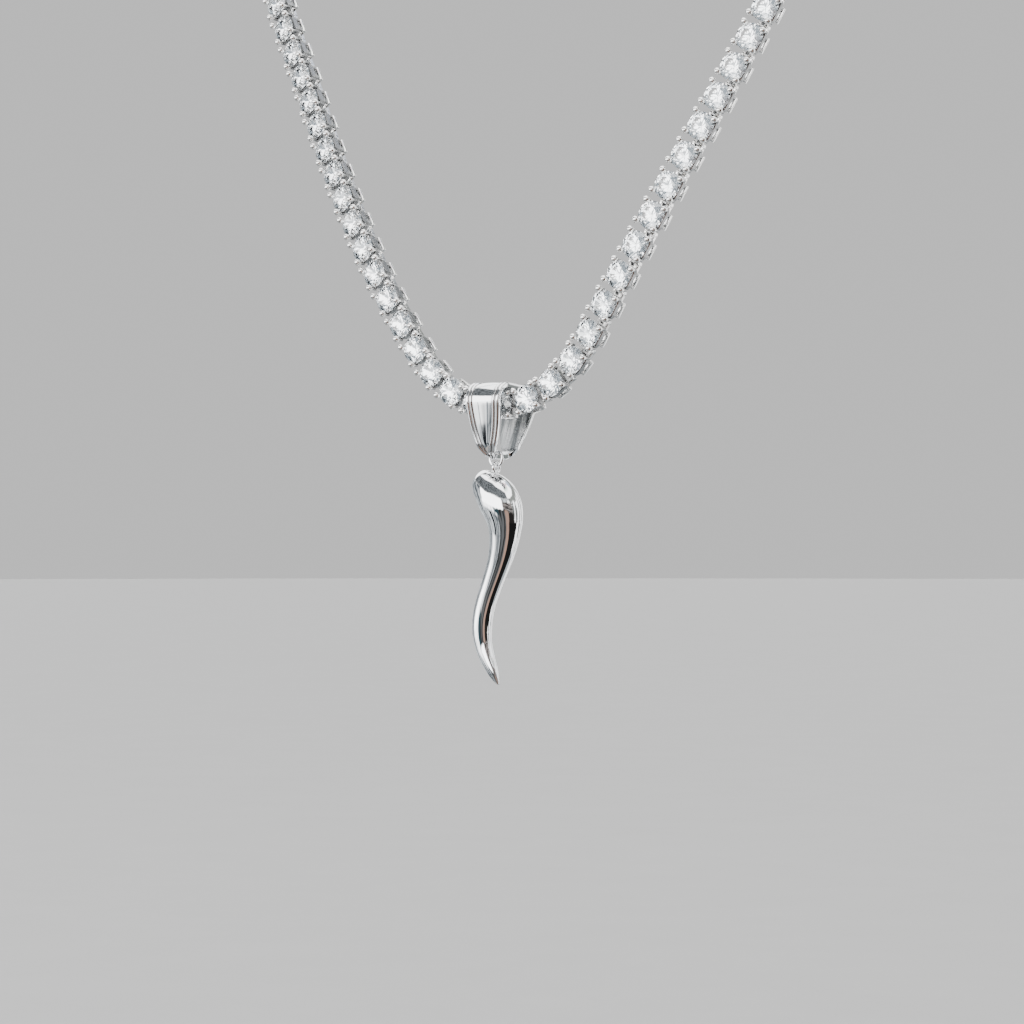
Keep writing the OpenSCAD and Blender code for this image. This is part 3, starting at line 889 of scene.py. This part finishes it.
def mirrored_room(paint, way):
    """The room of bright and dark areas that metal and stones mirror.

    Directions are given in degrees: round to the right from the camera's side, and up.
    """
    turn = math.radians(CAMERA_TURN)

    def share(direction):
        return paint.node(
            "ShaderNodeVectorMath", {"operation": "DOT_PRODUCT"}, [way, direction], out=1)

    front = share((math.sin(turn), -math.cos(turn), 0.0))
    right = share((math.cos(turn), math.sin(turn), 0.0))
    around = right.math("ARCTAN2", front) * math.degrees(1)
    rise = share((0.0, 0.0, 1.0)).math("ARCSINE") * math.degrees(1)
    clouds = paint.noise(way, 5.0, 3.0, 0.6)
    specks = paint.noise(way, 16.0, 4.0, 0.7)
    streaks = paint.noise(paint.stretched(way, (1.5, 1.5, 14.0)), 2.0, 3.0, 0.6)
    bars = paint.noise(paint.stretched(way, (6.0, 6.0, 0.7)), 1.3, 1.0, 0.5)
    wavy_around = around + (clouds - 0.5) * 9.0
    wavy_rise = rise + (clouds - 0.5) * 7.0
    slanted_rise = wavy_rise - around * 0.08
    peaked_rise = wavy_rise + (around + 45.0).math("ABSOLUTE") * 0.25
    walls = streaks * 0.3 + bars * 0.7

    def area(left_edge, right_edge, low, high, soft, height=wavy_rise):
        return wavy_around.band(left_edge, right_edge, soft) * height.band(low, high, soft)

    # Side and back walls
    room = paint.mix(walls.step(0.42, 0.6), grey(0.2, (0.8, 0.91, 1.0)),
                     grey(1.3, (0.92, 0.97, 1.0)))
    right_wall = paint.mix(walls.step(0.44, 0.54), grey(0.3, (0.93, 1.0, 0.97)), grey(3.2))
    room = paint.mix(area(36, 200, -27, 30, 4.0), room, right_wall)
    room = paint.mix(area(55, 200, 27, 42, 4.0), room, grey(0.42, (0.95, 1.0, 0.94)))

    # The dark middle of the room, with a warm strip beside it
    brown = paint.mix(streaks.step(0.42, 0.56), grey(0.03), grey(0.5, (1.0, 0.9, 0.86)))
    dark_wall = paint.mix(bars.step(0.42, 0.54), grey(0.04, (0.97, 0.98, 1.0)),
                          grey(0.19, (0.95, 0.98, 1.0)))
    room = paint.mix(area(-16, 86, -60, -8, 3.0), room, grey(0.015))
    room = paint.mix(area(-16, 64, -12, 6, 3.0), room, grey(0.03, (1.0, 0.9, 0.85)))
    room = paint.mix(area(0, 60, 5, 25, 3.0), room, brown)
    room = paint.mix(area(-36, 12, -60, 1, 2.5), room, dark_wall)
    room = paint.mix(area(11, 30, -60, 4, 2.0), room, grey(0.62, (1.0, 0.64, 0.5)))

    # Low down on the left: dark blue and sand-coloured bands, and grey under them
    blue_band = area(-180, -34, -42, -22, 3.0) * streaks.step(0.44, 0.56)
    room = paint.mix(blue_band, room, grey(0.07, (0.7, 0.86, 1.0)))
    room = paint.mix(area(-80, -68, -25, -14, 2.0), room, grey(0.02, (0.6, 0.8, 1.0)))
    room = paint.mix(area(-180, -34, -52, -42, 2.0), room, grey(0.6, (1.0, 0.93, 0.88)))
    room = paint.mix(rise.step(-56, -52), grey(0.4, (0.9, 0.97, 1.0)), room)

    # The window, the shine under it and a teal mark
    shine = paint.mix(bars.step(0.4, 0.5), grey(0.9, (0.86, 0.94, 1.0)), grey(4.0))
    room = paint.mix(area(-100, -34, -12, 6, 3.0), room, shine)
    room = paint.mix(area(-46, -24, -10, -3, 1.5), room, grey(0.1, (0.4, 0.85, 1.0)))
    room = paint.mix(area(-96, 2, 2, 31, 2.0, slanted_rise), room, grey(6.0))

    # Overhead: a mottled grey ceiling between bright panels, and pale green, pink and blue hints
    room = paint.mix(slanted_rise.step(30, 33), room, grey(4.0))
    mottled = paint.mix(specks.step(0.38, 0.6), grey(0.06, (0.88, 0.95, 1.0)),
                        grey(0.36, (0.88, 0.95, 1.0)))
    ceiling = area(-135, 46, 31, 100, 2.5, slanted_rise) * (1.0 - peaked_rise.step(69, 74))
    room = paint.mix(ceiling, room, mottled)
    room = paint.mix(area(50, 96, 50, 60, 4.0), room, grey(1.8, (0.86, 1.0, 0.9)))
    room = paint.mix(area(84, 116, 54, 66, 4.0), room, grey(1.8, (1.0, 0.8, 0.88)))
    return paint.mix(area(112, 142, 40, 54, 4.0), room, grey(1.3, (0.76, 0.84, 1.0)))


def surroundings():
    """Plain and pale to the eye and for soft light, and a room where it is mirrored.

    The stones see the same room without its colours, and less black.
    """
    world = bpy.data.worlds.new("studio")
    bpy.context.scene.world = world
    paint = Paint(world)
    way = paint.node("ShaderNodeTexCoord", None, (), out="Generated")
    room = mirrored_room(paint, way)
    seen = paint.node("ShaderNodeLightPath", None, (), out="Is Camera Ray")
    diffuse = paint.node("ShaderNodeLightPath", None, (), out="Is Diffuse Ray")
    through_stone = paint.node("ShaderNodeLightPath", None, (), out="Is Transmission Ray")
    levels = paint.node("ShaderNodeRGBToBW", None, [room])
    colourless = paint.mix(levels.step(0.3, 2.6), grey(0.75, (0.78, 0.9, 1.0)),
                           grey(6.5, (0.97, 0.99, 1.0)))
    room = paint.mix(through_stone, room, colourless)
    plain = paint.mix(seen, grey(0.6), grey(0.7))
    colour = paint.mix(seen.math("MAXIMUM", diffuse), room, plain)
    background = paint.node("ShaderNodeBackground", None, {"Color": colour, "Strength": 1.0})
    paint.node("ShaderNodeOutputWorld", None, {"Surface": background})


def floor():
    """A broad pale floor under the horn's tip, left out of what metal and stones mirror."""
    bm = bmesh.new()
    height = horn_low.z * MM - FLOOR_BELOW_TIP
    bmesh.ops.create_circle(bm, cap_ends=True, segments=64, radius=FLOOR_R,
                            matrix=Matrix.Translation((0, 0, height)))
    mesh = bpy.data.meshes.new("floor")
    bm.to_mesh(mesh)
    bm.free()
    mesh.materials.append(pale_floor("floor_paint"))
    made = bpy.data.objects.new("floor", mesh)
    bpy.context.scene.collection.objects.link(made)
    made.visible_glossy = False
    made.visible_transmission = False


def soft_light(name, place, aim, size, watts, tint):
    """A round area light, aimed at a point. Its place, its aim and its size are in metres."""
    data = bpy.data.lights.new(name, "AREA")
    data.shape = "DISK"
    data.size = size
    data.energy = watts
    data.color = tint
    light = bpy.data.objects.new(name, data)
    bpy.context.scene.collection.objects.link(light)
    light.location = place
    light.rotation_euler = (Vector(aim) - Vector(place)).to_track_quat("-Z", "Y").to_euler()
    light.visible_glossy = False


photo_camera()
surroundings()
floor()
pendant = Vector((ring_middle.x * MM, bail_low.y * MM, horn_high.z * MM))
soft_light("key_light", (-0.7, -1.0, 0.9), pendant, size=0.8, watts=14,
           tint=(1.0, 0.99, 0.97))
soft_light("fill_light", (1.2, -0.6, 0.3), pendant, size=1.0, watts=6,
           tint=(0.96, 0.98, 1.0))
